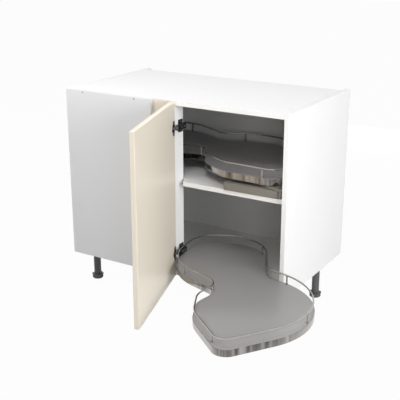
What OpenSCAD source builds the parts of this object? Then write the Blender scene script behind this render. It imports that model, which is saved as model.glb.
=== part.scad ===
// Blind corner base cabinet with two swing-out trays.
// Units are millimetres, +Z is up, the front faces -Y.
// The origin lies on the floor, on the axis of the front left foot.
// The hinged door stands open, the lower tray is swung out, the upper tray is in.

/* [Carcass] */
// Outside width of the carcass
cab_w = 1000; // [960:1:1040]
// Depth of the side panels
cab_d = 570; // [560:1:600]
// Height of the carcass without legs
cab_h = 720; // [700:1:760]
// Thickness of the carcass boards
panel_t = 18; // [16:0.5:19]
// Thickness of the back panel
back_t = 8; // [4:0.5:8]
// Depth of the service void behind the back panel
void_d = 33; // [20:1:40]
// Height of the legs
leg_h = 150; // [120:1:180]

/* [Front] */
// Width of the fixed blind panel
blind_w = 421; // [400:1:440]
// Thickness of the blind panel and of the door
front_t = 19; // [16:0.5:22]
// Width of the corner post
post_w = 80; // [60:1:90]
// How far the corner post stands in front of the carcass
post_proud = 6; // [4:0.5:10]
// Depth of the stile that carries the hinges
stile_d = 59; // [50:1:70]
// Angle the door is open in the pictured position
door_open = 72.1; // [60:0.1:105]
// Gap between the closed door and the carcass front
door_gap = 3.5; // [3:0.1:5]
// Height of the hinge centres from the door ends
hinge_inset = 99; // [90:1:120]

/* [Shelf] */
// Height of the shelf top above the carcass underside
shelf_z = 397; // [380:1:420]
// Setback of the shelf from the carcass front
shelf_back = 18; // [15:1:30]
// Width of the shelf notch beside the hinge stile
shelf_notch = 25; // [15:1:35]

/* [Swing-out trays] */
// Thickness of the tray board
board_t = 16; // [12:0.5:18]
// Height of the metal band round the tray edge
band_h = 25; // [20:0.5:30]
// Thickness of the metal band
band_t = 1.5; // [1:0.1:2.5]
// Height of the gallery rail centre above the tray
rail_h = 35.5; // [30:0.5:50]
// Diameter of the gallery rail
rail_d = 6; // [5:0.5:8]
// Inset of the gallery rail from the tray edge
rail_inset = 6; // [5:0.5:9]
// Height of the tray surface above its supporting board
tray_rise = 67; // [65:1:75]
// Thickness of the swing arm
arm_t = 8; // [6:0.5:9]
// Turn of the swing arm from the stored to the swung-out position
arm_swing = 95.13; // [95:0.01:96]
// Clockwise turn of the tray from the stored to the swung-out position
tray_turn = 36.38; // [35:0.01:37]

/* [Legs] */
// Diameter of the leg tube
tube_d = 31; // [28:0.5:34]
// Diameter of the foot over its rim
foot_d = 50; // [46:0.5:60]
// Height of the foot
foot_h = 20; // [16:0.5:24]
// Distance of the leg axes from the carcass sides
leg_in_x = 43; // [38:1:60]
// Distance of the front leg axes from the carcass front
leg_in_y = 83; // [60:1:100]
// Distance between the front and rear leg axes
leg_span_y = 327; // [300:1:360]

/* [Hidden] */
$fn = 48;
// height of the foot's rim
rim_h = 5;
// general running clearance
clr = 0.25;
// carcass planes
xl = -leg_in_x;
xr = xl + cab_w;
yf = -leg_in_y;
yb = yf + cab_d;
z0 = leg_h;
z1 = leg_h + cab_h;
ybk = yb - void_d - back_t;
in_w = cab_w - 2 * panel_t;
in_l = xl + panel_t;
in_r = xr - panel_t;
in_b = z0 + panel_t;
in_t = z1 - panel_t;
// opening edge planes
post_x = xl + blind_w;
stile_x = post_x + post_w;
face_x = stile_x + panel_t;
// shelf
sh_top = z0 + shelf_z;
sh_bot = sh_top - panel_t;
// door, drawn closed and then swung round the hinge axis
door_x = stile_x + 1;
door_w = xr - 2 - door_x;
door_b = z0 + 4;
door_t = z1 - 1;
door_in = yf - door_gap;
door_out = door_in - front_t;
hinge_x = stile_x + 10.75;
hinge_y = door_in - 13.4;
hz_low = door_b + hinge_inset;
hz_up = door_t - hinge_inset - 3;
cup_r = 17.5;
cup_off = 21.5;
cup_deep = 12.5;
// tray mechanism levels above the supporting board, worked down from the band
band_low = tray_rise - band_h;
hub_top = tray_rise - board_t;
post_top = band_low - 0.5;
arm_top = post_top - 2;
arm_z = arm_top - arm_t;
base_h = arm_z - 2;
// pivot post, set in from the carcass side and front
piv_in_x = 40;
piv_in_y = 30;
piv_x = xr - piv_in_x;
piv_y = yf + piv_in_y;
// tray size follows the opening and the room inside the carcass: the mouth,
// width and depth that a full-size tray needs, less the room kept beside it
mouth_full = 441;
width_full = 876;
depth_full = 493;
width_room = 124;
depth_room = 77;
ts = min((piv_x - face_x) / mouth_full, (cab_w - width_room) / width_full,
    (cab_d - depth_room) / depth_full);
// swing arm between its pivots, and its direction when stored
arm_full = 349.83;
arm_l = arm_full * ts;
arm_in = 160.62;
post_r = 8;
pillar_r = 11;
// base rail from the pivot post to its far end
rail_full = 222;
rail_l = rail_full * ts;
hub_r = 30;
pin_r = 8;
boss_r = 17;
// tray outline: arcs round the edge, [x, y, radius] from the tray pivot,
// a negative radius is a hollow
arcs = [
    [-432, 197.9, 120],
    [-305, 240.9, 244],
    [-123, -17.1, -60],
    [38, 26.9, 103],
    [123, 37.9, 152],
    [271, -68.1, 52],
    [43, 72.9, 273],
    [-141, 352.9, -61],
    [-361, 185.9, 189]
];
na = len(arcs);
// rail posts: arc number and the direction from its centre
posts = [[1, -86], [2, 79], [5, -117], [6, 39], [6, 111], [8, 87]];

// Geometry helpers

// box from its two corners
module bx(x0, x1, y0, y1, za, zb) {
    translate([x0, y0, za])
        cube([x1 - x0, y1 - y0, zb - za]);
}

// arc i of the outline, drawn in by e
function arc(i, e) = [arcs[i][0] * ts, arcs[i][1] * ts, arcs[i][2] * ts - e];

// direction of the common tangent's contact from arc a to arc b
function dir(a, b) =
    let (d = [b[0] - a[0], b[1] - a[1]])
    atan2(d[1], d[0]) - acos((a[2] - b[2]) / norm(d));

function wrap(a) = a - 360 * floor((a + 180) / 360);

// points of one arc, from its first to its last contact
function arc_pts(i, e) =
    let (c = arc(i, e))
    let (a0 = dir(arc((i + na - 1) % na, e), c))
    let (a1 = dir(c, arc((i + 1) % na, e)))
    let (s = wrap(a1 - a0))
    let (n = max(3, ceil(abs(s) / 5)))
    [for (k = [0:n]) [
        c[0] + c[2] * cos(a0 + s * k / n),
        c[1] + c[2] * sin(a0 + s * k / n)]];

function outline(e) = [for (i = [0:na - 1]) each arc_pts(i, e)];

module tray_2d(e) {
    polygon(outline(e));
}

// point on the outline at an arc's direction
function edge_at(p, e) =
    let (c = arc(p[0], e))
    let (g = c[2] < 0 ? -c[2] : c[2])
    [c[0] + g * cos(p[1]), c[1] + g * sin(p[1])];

// places a tray piece: s is the board it stands on, o is 1 when swung out
module at_arm(s, o) {
    translate([piv_x, piv_y, s])
        rotate([0, 0, arm_in + o * arm_swing])
        children();
}

module at_tray(s, o) {
    at_arm(s, o)
        translate([arm_l, 0, 0])
        rotate([0, 0, -arm_in - o * (arm_swing + tray_turn)])
        children();
}

// swings a piece drawn on the closed door to the open position
module swung() {
    translate([hinge_x, hinge_y, 0])
        rotate([0, 0, -door_open])
        translate([-hinge_x, -hinge_y, 0])
        children();
}

// countersunk screw along +Y from its head face
module screw_y(l) {
    rotate([-90, 0, 0]) {
        cylinder(h = 2.5, r1 = 4.2, r2 = 2);
        cylinder(h = l, r = 2);
    }
}

// screws through the top edge of the blind panel: in from its two sides
screw_in_l = 87;
screw_in_r = 79;
screw_down = 8;
screw_x = [xl + screw_in_l, post_x - screw_in_r];
screw_z = [z1 - screw_down];
// caps over the top's fixings: one in the middle, two along the right side
cap_in_front = 40;
cap_in_rear = 38;
cap_back_front = 97;
cap_back_mid = 261;
cap_back_rear = 410;
cap_pos = [
    [xl + cab_w / 2, yf + cap_back_mid],
    [xr - cap_in_front, yf + cap_back_front],
    [xr - cap_in_rear, yf + cap_back_rear]
];
// shelf pins, in from the front and from the back panel
pin_in_front = 75;
pin_in_rear = 60;
pin_y = [yf + pin_in_front, ybk - pin_in_rear];
foot_x = [0, xr - leg_in_x];
foot_y = [0, leg_span_y];

// Carcass

module side_panel(x, s) {
    difference() {
        bx(x, x + panel_t, yf, yb, z0, z1);
        for (y = pin_y)
            translate([s > 0 ? x + panel_t - 8.5 : x - 1, y, sh_bot - 2.5])
            rotate([0, 90, 0])
            cylinder(h = 9.5, r = 2.6);
    }
}

module left_side_panel() {
    color([0.93, 0.93, 0.93])
        side_panel(xl, 1);
}

module right_side_panel() {
    color([0.95, 0.95, 0.95])
        side_panel(in_r, -1);
}

module bottom_panel() {
    color([0.9, 0.9, 0.9])
        difference() {
            bx(in_l, in_r, yf, ybk, z0, in_b);
            screw_bores();
        }
}

module top_panel() {
    color([0.95, 0.95, 0.95])
        difference() {
            bx(in_l, in_r, yf, ybk, in_t, z1);
            screw_bores();
            for (c = cap_pos)
                translate([c[0], c[1], z1 - 4])
                cylinder(h = 5, r = 6);
        }
}

module screw_bores() {
    for (x = screw_x, z = screw_z)
        translate([x, yf - 1, z])
        rotate([-90, 0, 0])
        cylinder(h = 32, r = 2);
}

module back_panel() {
    color([0.88, 0.88, 0.86])
        bx(in_l, in_r, ybk, ybk + back_t, z0, z1 - 4);
}

module blind_front_panel() {
    color([0.93, 0.93, 0.93])
        difference() {
            bx(xl, post_x, yf - front_t, yf, z0, z1);
            for (x = screw_x, z = screw_z)
                translate([x, yf - front_t - 1, z])
                rotate([-90, 0, 0]) {
                    cylinder(h = front_t + 2, r = 2 + clr);
                    translate([0, 0, 1])
                        cylinder(h = 2.5, r1 = 4.2, r2 = 2);
                    cylinder(h = 1, r = 4.2);
                }
        }
}

module corner_post() {
    color([0.9, 0.87, 0.79])
        union() {
            bx(post_x, stile_x, yf - post_proud, yf, z0, z1);
            bx(post_x, stile_x, yf, yf + panel_t - post_proud, in_b, in_t);
        }
}

module hinge_stile() {
    color([0.93, 0.93, 0.93])
        difference() {
            bx(stile_x, face_x, yf, yf + stile_d, in_b, in_t);
            for (h = [hz_low, hz_up], d = [-16, 16])
                translate([face_x - 12, yf + 37, h + d])
                rotate([0, 90, 0])
                cylinder(h = 13, r = 1.8);
        }
}

module fixed_shelf() {
    color([0.9, 0.9, 0.9])
        difference() {
            bx(in_l + 0.5, in_r - 0.5, yf + shelf_back, ybk - 1, sh_bot, sh_top);
            bx(stile_x - 1, face_x + shelf_notch, yf, yf + stile_d + 1, sh_bot - 1, sh_top + 1);
        }
}

module shelf_pins() {
    color([0.75, 0.75, 0.76])
        for (y = pin_y) {
            translate([in_l - 8, y, sh_bot - 2.5])
                rotate([0, 90, 0])
                cylinder(h = 18, r = 2.5);
            translate([in_r - 10, y, sh_bot - 2.5])
                rotate([0, 90, 0])
                cylinder(h = 18, r = 2.5);
        }
}

module front_panel_screws() {
    color([0.7, 0.7, 0.72])
        for (x = screw_x, z = screw_z)
            translate([x, yf - front_t, z])
            screw_y(front_t + 25);
}

module top_fixing_caps() {
    color([0.85, 0.85, 0.85])
        for (c = cap_pos)
            translate([c[0], c[1], z1 - 4])
            cylinder(h = 4, r = 6);
}

// Legs

module leg_brackets() {
    color([0.2, 0.2, 0.21])
        for (x = foot_x, y = foot_y)
            translate([x, y, 0])
            difference() {
                union() {
                    translate([0, 0, z0 - 5])
                        cylinder(h = 5, r = 32);
                    translate([0, 0, z0 - 28])
                        cylinder(h = 28, r = tube_d / 2 + 3);
                }
                translate([0, 0, z0 - 29])
                    cylinder(h = 23, r = tube_d / 2);
            }
}

module leg_tubes() {
    color([0.24, 0.24, 0.25])
        for (x = foot_x, y = foot_y)
            translate([x, y, foot_h])
            difference() {
                cylinder(h = z0 - 6 - foot_h, r = tube_d / 2);
                translate([0, 0, -1])
                    cylinder(h = 32, r = 9 + clr);
            }
}

module foot(x, y) {
    color([0.18, 0.18, 0.19])
        translate([x, y, 0])
        union() {
            // rim on top of six lobes that taper to the floor
            difference() {
                union() {
                    translate([0, 0, foot_h - rim_h])
                        cylinder(h = rim_h, r = foot_d / 2);
                    translate([0, 0, 3])
                        cylinder(h = foot_h - rim_h - 2, r = foot_d / 2 - 1.5);
                    cylinder(h = 3, r1 = foot_d / 2 - 4.5, r2 = foot_d / 2 - 1.5);
                }
                for (a = [0:60:300])
                    rotate([0, 0, a])
                    translate([foot_d / 2 + 1.5, 0, -1])
                    cylinder(h = foot_h + 2, r = 5.5);
            }
            translate([0, 0, foot_h - 1])
                cylinder(h = 26, r = 9);
        }
}

module foot_front_left() {
    foot(foot_x[0], foot_y[0]);
}

module foot_front_right() {
    foot(foot_x[1], foot_y[0]);
}

module foot_rear_left() {
    foot(foot_x[0], foot_y[1]);
}

module foot_rear_right() {
    foot(foot_x[1], foot_y[1]);
}

// Door and hinges

module door_panel() {
    color([0.9, 0.86, 0.78])
        swung()
        difference() {
            bx(door_x, door_x + door_w, door_out, door_in, door_b, door_t);
            for (h = [hz_low, hz_up])
                translate([door_x + cup_off, door_in + 1, h])
                rotate([90, 0, 0])
                cylinder(h = cup_deep + 1, r = cup_r);
        }
}

module hinge_plate(h) {
    color([0.35, 0.35, 0.37])
        difference() {
            union() {
                bx(face_x, face_x + 4, yf + 22, yf + 51, h - 25, h + 25);
                for (d = [-16, 16])
                    translate([face_x - 11, yf + 37, h + d])
                    rotate([0, 90, 0])
                    cylinder(h = 12, r = 1.8);
            }
            for (d = [-16, 16])
                translate([face_x + 2.5, yf + 37, h + d])
                rotate([0, 90, 0])
                cylinder(h = 2, r = 3);
        }
}

module hinge_arm(h) {
    color([0.78, 0.78, 0.8])
        difference() {
            union() {
                bx(face_x + 4, face_x + 20, yf + 22, yf + 51, h - 9.5, h + 9.5);
                bx(face_x + 8, face_x + 20, yf - 5, yf + 22, h - 9.5, h + 9.5);
            }
            bx(face_x + 3, face_x + 18, yf - 6, yf + 46, h - 7.5, h + 7.5);
            bx(face_x + 10, face_x + 21, yf - 6, yf + 3, h - 7.5, h + 7.5);
            translate([face_x + 17, yf + 38, h])
                rotate([0, 90, 0])
                cylinder(h = 4, r = 3.2);
        }
}

module hinge_link(h) {
    color([0.7, 0.7, 0.72])
        swung()
        translate([0, 0, h - 6.5])
        difference() {
            linear_extrude(13)
                union() {
                    translate([door_x + cup_off, door_in - 5])
                        circle(r = 3);
                    polygon([
                        [door_x + cup_off - 1.8, door_in - 7.4],
                        [door_x + cup_off + 1.8, door_in - 2.6],
                        [door_x + 1.9, door_in + 13.9],
                        [door_x - 3.1, door_in + 8.9]
                    ]);
                    translate([door_x - 0.6, door_in + 11.4])
                        circle(r = 3.5);
                }
            translate([door_x + cup_off, door_in - 5, -1])
                cylinder(h = 15, r = 1.6);
        }
}

module hinge_cup(h) {
    color([0.32, 0.32, 0.34])
        swung()
        translate([door_x + cup_off, door_in, h])
        union() {
            difference() {
                union() {
                    rotate([90, 0, 0])
                        cylinder(h = cup_deep - 0.5, r = cup_r - 0.1);
                    translate([-16, 0, -29])
                        cube([22, 1.5, 58]);
                }
                translate([0, 2, 0])
                    rotate([90, 0, 0])
                    cylinder(h = cup_deep + 0.5, r = cup_r - 2);
            }
            translate([0, -5, -cup_r + 1])
                cylinder(h = 2 * cup_r - 2, r = 1.5);
        }
}

module lower_hinge_plate() {
    hinge_plate(hz_low);
}

module lower_hinge_arm() {
    hinge_arm(hz_low);
}

module lower_hinge_link() {
    hinge_link(hz_low);
}

module lower_hinge_cup() {
    hinge_cup(hz_low);
}

module upper_hinge_plate() {
    hinge_plate(hz_up);
}

module upper_hinge_arm() {
    hinge_arm(hz_up);
}

module upper_hinge_link() {
    hinge_link(hz_up);
}

module upper_hinge_cup() {
    hinge_cup(hz_up);
}

// Swing-out mechanism, one set on the bottom panel and one on the shelf

module base_rail(s) {
    color([0.62, 0.6, 0.57])
        translate([0, 0, s])
        difference() {
            linear_extrude(base_h)
                union() {
                    translate([piv_x - rail_l, piv_y - 4])
                        circle(r = 13);
                    polygon([
                        [piv_x - rail_l, piv_y - 17],
                        [piv_x - 5, piv_y - 13],
                        [piv_x - 5, piv_y + 13],
                        [piv_x - rail_l, piv_y + 9]
                    ]);
                }
            translate([piv_x, piv_y, -1])
                cylinder(h = base_h + 2, r = pillar_r);
        }
}

module pivot_post(s) {
    color([0.75, 0.75, 0.77])
        translate([piv_x, piv_y, s])
        union() {
            cylinder(h = post_top - 1.5, r = post_r);
            cylinder(h = arm_z, r = pillar_r);
        }
}

module post_cap(s) {
    color([0.25, 0.25, 0.26])
        translate([piv_x, piv_y, s + post_top - 1.5])
        cylinder(h = 1.5, r = 11);
}

module swing_arm(s, o) {
    color([0.68, 0.66, 0.62])
        at_arm(s, o)
        translate([0, 0, arm_z])
        difference() {
            linear_extrude(arm_t)
                union() {
                    circle(r = boss_r);
                    translate([arm_l, 0])
                        circle(r = 20);
                    polygon([
                        [0, -boss_r + 1],
                        [arm_l, -19],
                        [arm_l, 19],
                        [0, boss_r - 1]
                    ]);
                }
            translate([0, 0, -1])
                cylinder(h = arm_t + 2, r = post_r + clr);
            translate([arm_l, 0, -1])
                cylinder(h = arm_t + 2, r = pin_r + clr);
        }
}

module tray_hub(s, o) {
    color([0.7, 0.7, 0.72])
        at_tray(s, o)
        union() {
            translate([0, 0, arm_top])
                cylinder(h = hub_top - arm_top, r = hub_r);
            translate([0, 0, arm_z - 1.5])
                cylinder(h = arm_t + 2, r = pin_r);
            translate([0, 0, arm_z - 3])
                cylinder(h = 2.5, r = 11);
        }
}

module tray_board(s, o) {
    color([0.72, 0.71, 0.7])
        at_tray(s, o)
        translate([0, 0, hub_top])
        linear_extrude(board_t)
        tray_2d(band_t);
}

module edge_band(s, o) {
    color([0.8, 0.8, 0.82])
        at_tray(s, o)
        translate([0, 0, band_low])
        linear_extrude(band_h)
        difference() {
            tray_2d(0);
            tray_2d(band_t);
        }
}

// ring of the gallery rail, an eight-sided wire along the outline
module gallery_rail(s, o) {
    pts = outline(rail_inset);
    n = len(pts);
    r = rail_d / 2;
    function nrm(i) =
        let (d = pts[(i + 1) % n] - pts[(i + n - 1) % n])
        [d[1], -d[0]] / norm(d);
    ring = [for (i = [0:n - 1], k = [0:7])
        let (m = nrm(i), a = 45 * k + 22.5)
        [pts[i][0] + m[0] * r * cos(a), pts[i][1] + m[1] * r * cos(a), r * sin(a)]];
    faces = [for (i = [0:n - 1], k = [0:7])
        let (j = (i + 1) % n, q = (k + 1) % 8)
        [i * 8 + k, i * 8 + q, j * 8 + q, j * 8 + k]];
    color([0.82, 0.8, 0.76])
        at_tray(s, o)
        translate([0, 0, tray_rise + rail_h])
        polyhedron(points = ring, faces = faces);
}

module rail_posts(s, o) {
    color([0.8, 0.8, 0.82])
        at_tray(s, o)
        for (p = posts)
            translate([edge_at(p, rail_inset)[0], edge_at(p, rail_inset)[1], tray_rise]) {
                cylinder(h = 3, r = 5);
                cylinder(h = rail_h - rail_d / 2 + 0.24, r = 3);
            }
}

module lower_base_rail() {
    base_rail(in_b);
}

module lower_pivot_post() {
    pivot_post(in_b);
}

module lower_post_cap() {
    post_cap(in_b);
}

module lower_swing_arm() {
    swing_arm(in_b, 1);
}

module lower_tray_hub() {
    tray_hub(in_b, 1);
}

module lower_tray_board() {
    tray_board(in_b, 1);
}

module lower_edge_band() {
    edge_band(in_b, 1);
}

module lower_gallery_rail() {
    gallery_rail(in_b, 1);
}

module lower_rail_posts() {
    rail_posts(in_b, 1);
}

module upper_base_rail() {
    base_rail(sh_top);
}

module upper_pivot_post() {
    pivot_post(sh_top);
}

module upper_post_cap() {
    post_cap(sh_top);
}

module upper_swing_arm() {
    swing_arm(sh_top, 0);
}

module upper_tray_hub() {
    tray_hub(sh_top, 0);
}

module upper_tray_board() {
    tray_board(sh_top, 0);
}

module upper_edge_band() {
    edge_band(sh_top, 0);
}

module upper_gallery_rail() {
    gallery_rail(sh_top, 0);
}

module upper_rail_posts() {
    rail_posts(sh_top, 0);
}

left_side_panel();
right_side_panel();
bottom_panel();
top_panel();
back_panel();
blind_front_panel();
corner_post();
hinge_stile();
fixed_shelf();
shelf_pins();
front_panel_screws();
top_fixing_caps();
leg_brackets();
leg_tubes();
foot_front_left();
foot_front_right();
foot_rear_left();
foot_rear_right();
door_panel();
lower_hinge_plate();
lower_hinge_arm();
lower_hinge_link();
lower_hinge_cup();
upper_hinge_plate();
upper_hinge_arm();
upper_hinge_link();
upper_hinge_cup();
lower_base_rail();
lower_pivot_post();
lower_post_cap();
lower_swing_arm();
lower_tray_hub();
lower_tray_board();
lower_edge_band();
lower_gallery_rail();
lower_rail_posts();
upper_base_rail();
upper_pivot_post();
upper_post_cap();
upper_swing_arm();
upper_tray_hub();
upper_tray_board();
upper_edge_band();
upper_gallery_rail();
upper_rail_posts();
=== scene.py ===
"""Looks of a blind corner base cabinet with two swing-out trays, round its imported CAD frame."""

import logging
import math
from dataclasses import dataclass, field
from enum import Enum
from typing import Iterable, Sequence

import bmesh
import bpy
from mathutils import Euler, Matrix, Vector


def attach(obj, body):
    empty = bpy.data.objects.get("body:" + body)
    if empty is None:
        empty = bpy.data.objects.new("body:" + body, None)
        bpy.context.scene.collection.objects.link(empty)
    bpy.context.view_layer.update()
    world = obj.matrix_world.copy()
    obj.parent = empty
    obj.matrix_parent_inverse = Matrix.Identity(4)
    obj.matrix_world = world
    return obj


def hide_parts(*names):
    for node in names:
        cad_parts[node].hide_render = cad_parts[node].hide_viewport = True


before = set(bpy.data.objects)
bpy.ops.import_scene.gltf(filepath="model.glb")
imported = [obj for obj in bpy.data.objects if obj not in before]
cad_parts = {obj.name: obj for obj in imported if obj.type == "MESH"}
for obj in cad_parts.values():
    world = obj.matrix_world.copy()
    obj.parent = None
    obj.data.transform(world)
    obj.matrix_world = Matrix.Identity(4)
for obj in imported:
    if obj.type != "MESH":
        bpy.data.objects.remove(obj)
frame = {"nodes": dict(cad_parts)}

LOG = logging.getLogger("cabinet")
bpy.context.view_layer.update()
Socket, Tree = bpy.types.NodeSocket, bpy.types.NodeTree
Material, Piece = bpy.types.Material, bpy.types.Object
# A mesh under work
Work = bmesh.types.BMesh
Point2 = tuple[float, float]
Point3 = tuple[float, float, float]
# Closer than this two vertices are one, in metres, and a radius is none, in millimetres
SAME_SPOT = 1e-6
# Edges whose ends differ less in height are level, in metres
SAME_LEVEL = 1e-9
# Outline steps shorter than this are left out, in millimetres
NO_STEP = 1e-3
# A screw head's height and the width of its recess, as shares of its radius
HEAD_RISE, RECESS_SHARE = 0.32, 0.3


class BoardEdge(Enum):
    """How a board's front edge is closed."""

    BARE = "faced like the board"
    STRIPPED = "closed with a plastic strip"


class Station(Enum):
    """Where a tray stands on its path."""

    STORED = 0
    SWUNG_OUT = 1


def mm(value: float) -> float:
    """Metres for a length in millimetres."""
    return value / 1000.0


def shift(x: float, y: float, z: float = 0.0) -> Matrix:
    """A move by millimetres."""
    return Matrix.Translation((mm(x), mm(y), mm(z)))


def quarter(x: int = 0, y: int = 0) -> Matrix:
    """A turn by quarter circles about X or Y."""
    return Euler((x * math.pi / 2, y * math.pi / 2, 0)).to_matrix().to_4x4()


def linear(code: str) -> tuple[float, float, float, float]:
    """Turns an sRGB hex colour to linear.

    Args:
        code: six hex digits, such as "E8E8E6".
    Returns:
        The linear colour with alpha 1.
    """
    parts = [int(code[i : i + 2], 16) / 255 for i in (0, 2, 4)]
    lin = [c / 12.92 if c <= 0.04045 else ((c + 0.055) / 1.055) ** 2.4 for c in parts]
    return (lin[0], lin[1], lin[2], 1.0)


def add_node(
    tree: Tree, kind: str, settings: dict[str, object] | None = None,
    links: dict[str | int, Socket] | None = None, values: dict[str | int, object] | None = None,
) -> bpy.types.Node:
    """Adds one node with its settings, values and incoming links.

    Args:
        tree: the node tree.
        kind: the node's type name.
        settings: attribute values of the node.
        links: input name or index to the socket that feeds it.
        values: input name or index to its constant value.
    Returns:
        The new node.
    """
    made = tree.nodes.new(kind)
    for key, value in (settings or {}).items():
        setattr(made, key, value)
    for key, value in (values or {}).items():
        made.inputs[key].default_value = value
    for key, socket in (links or {}).items():
        tree.links.new(socket, made.inputs[key])
    return made


@dataclass(frozen=True)
class Patterns:
    """What a finish draws on: slow noise, fine noise and the object's own coordinates."""

    drift: Socket
    grain: Socket
    where: Socket


@dataclass(frozen=True)
class Finish:
    """One surface: a material and how it was made.

    tone_mm and grain_mm are the real sizes of its colour drift and of its fine surface grain.
    """

    name: str
    slot: str
    colour: str
    shade: str
    roughness: float
    metallic: float = 0.0
    tone_mm: float = 120.0
    grain_mm: float = 1.5
    grain_depth: float = 0.06
    polish_spread: float = 0.06
    stretch: Point3 = (1.0, 1.0, 1.0)
    coat: float = 0.0
    coat_roughness: float = 0.12

    def made(self) -> Material:
        """Returns the finish's material, built once."""
        have = bpy.data.materials.get(self.name)
        return have if have else self.build()

    def build(self) -> Material:
        """Builds the material: colour drift, gloss drift and surface grain.

        Returns:
            The new material.
        """
        material = bpy.data.materials.new(self.name)
        material.use_nodes = True
        tree = material.node_tree
        tree.nodes.clear()
        out = add_node(tree, "ShaderNodeOutputMaterial")
        shader = add_node(tree, "ShaderNodeBsdfPrincipled", values={"Metallic": self.metallic})
        if self.coat:
            shader.inputs["Coat Weight"].default_value = self.coat
            shader.inputs["Coat Roughness"].default_value = self.coat_roughness
        tree.links.new(shader.outputs[0], out.inputs["Surface"])
        place = add_node(tree, "ShaderNodeTexCoord")
        turned = add_node(
            tree, "ShaderNodeMapping", links={"Vector": place.outputs["Object"]},
            values={"Scale": self.stretch},
        )
        where = turned.outputs[0]
        drift, grain = (
            add_node(
                tree, "ShaderNodeTexNoise", links={"Vector": where},
                values={"Scale": 1.0 / mm(size), "Detail": detail, "Roughness": rough},
            )
            for size, detail, rough in ((self.tone_mm, 3.0, 0.55), (self.grain_mm, 2.0, 0.6))
        )
        patterns = Patterns(drift.outputs[0], grain.outputs[0], where)
        tree.links.new(self.tone(tree, patterns), shader.inputs["Base Color"])
        gloss = add_node(
            tree,
            "ShaderNodeMapRange",
            links={"Value": drift.outputs[0]},
            values={
                "From Min": 0.3, "From Max": 0.7,
                "To Min": max(0.02, self.roughness - self.polish_spread),
                "To Max": min(1.0, self.roughness + self.polish_spread),
            },
        )
        tree.links.new(gloss.outputs[0], shader.inputs["Roughness"])
        bump = add_node(
            tree, "ShaderNodeBump", links={"Height": self.relief(tree, patterns)},
            values={"Strength": self.grain_depth, "Distance": mm(self.grain_mm)},
        )
        tree.links.new(bump.outputs[0], shader.inputs["Normal"])
        return material

    def tone(self, tree: Tree, patterns: Patterns) -> Socket:
        """Mixes the finish's two tones by the slow drift.

        Args:
            tree: the material's nodes.
            patterns: what the tone may follow.
        Returns:
            The colour socket.
        """
        ramp = add_node(tree, "ShaderNodeValToRGB", links={"Fac": patterns.drift})
        stops = ramp.color_ramp.elements
        for stop, position, colour in zip(stops, (0.32, 0.68), (self.shade, self.colour)):
            stop.position = position
            stop.color = linear(colour)
        return ramp.outputs[0]

    def relief(self, tree: Tree, patterns: Patterns) -> Socket:
        """Returns the height that the bump follows."""
        return patterns.grain


@dataclass(frozen=True)
class SpeckledFinish(Finish):
    """A finish with fine specks of a second colour, as moulded or sprayed surfaces show."""

    speck: str = "FFFFFF"
    speck_mm: float = 2.0
    speck_share: float = 0.12

    def tone(self, tree: Tree, patterns: Patterns) -> Socket:
        """Adds specks over the drifting tone.

        Args:
            tree: the material's nodes.
            patterns: what the tone may follow.
        Returns:
            The colour socket.
        """
        base = Finish.tone(self, tree, patterns)
        cells = add_node(
            tree, "ShaderNodeTexVoronoi", links={"Vector": patterns.where},
            values={"Scale": 1.0 / mm(self.speck_mm)},
        )
        spots = add_node(
            tree, "ShaderNodeMapRange", links={"Value": cells.outputs["Distance"]},
            values={"From Min": 0.12, "From Max": 0.3, "To Min": self.speck_share, "To Max": 0.0},
        )
        mixed = add_node(
            tree, "ShaderNodeMix", {"data_type": "RGBA"}, {0: spots.outputs[0], 6: base},
            {7: linear(self.speck)},
        )
        return mixed.outputs[2]


@dataclass(frozen=True)
class DrawnMetal(Finish):
    """Rolled or drawn metal with fine lines along its length.

    Where rim is set, it is a painted reflection: the plating shows its two tones seen straight on
    and its colour turns to the lighter rim tone, a painted grazing sheen, where it curves away.
    """

    line_mm: float = 1.2
    # painted reflection: the tone that the colour takes where the surface faces away from the eye
    rim: str = ""

    def tone(self, tree: Tree, patterns: Patterns) -> Socket:
        """Paints a reflection: turns the drifting tone to the rim tone where the surface faces
        away.

        Args:
            tree: the material's nodes.
            patterns: what the tone may follow.
        Returns:
            The colour socket.
        """
        base = Finish.tone(self, tree, patterns)
        if not self.rim:
            return base
        # painted sheen: Layer Weight's facing value lightens the colour towards grazing angles
        away = add_node(tree, "ShaderNodeLayerWeight", values={"Blend": 0.5})
        share = add_node(
            tree, "ShaderNodeMapRange", {"interpolation_type": "SMOOTHSTEP"},
            {"Value": away.outputs["Facing"]}, {"From Min": 0.12, "From Max": 0.7},
        )
        mixed = add_node(
            tree, "ShaderNodeMix", {"data_type": "RGBA"}, {0: share.outputs[0], 6: base},
            {7: linear(self.rim)},
        )
        return mixed.outputs[2]

    def relief(self, tree: Tree, patterns: Patterns) -> Socket:
        """Lines run round the piece, level with the floor.

        Args:
            tree: the material's nodes.
            patterns: what the relief may follow.
        Returns:
            The height socket.
        """
        flat = add_node(
            tree, "ShaderNodeMapping", links={"Vector": patterns.where},
            values={"Scale": (0.02, 0.02, 1.0)},
        )
        lines = add_node(
            tree, "ShaderNodeTexNoise", links={"Vector": flat.outputs[0]},
            values={"Scale": 1.0 / mm(self.line_mm), "Detail": 1.0},
        )
        return lines.outputs[0]


# Melamine-faced particle board: a pearl embossing that dulls the shine a little
MELAMINE = Finish(
    "melamine_white_pearl", "white_board", "EDEDED", "EBEBEB", 0.42,
    tone_mm=400, grain_mm=2.2, grain_depth=0.04, polish_spread=0.03,
)
# The same board's edge, closed with a smooth plastic strip that shines a little more
EDGE_STRIP = Finish(
    "abs_edge_strip_white", "white_board", "F1F1F0", "EDEDEC", 0.33, grain_mm=6.0, grain_depth=0.03
)
# Foil pressed on fibreboard: satin, with a faint orange peel that softens reflections
WHITE_FOIL = Finish(
    "foil_white_satin", "white_front", "E8E8E9", "E7E7E8", 0.36,
    tone_mm=500, grain_mm=5.0, grain_depth=0.04, polish_spread=0.02, coat=0.1,
)
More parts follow.
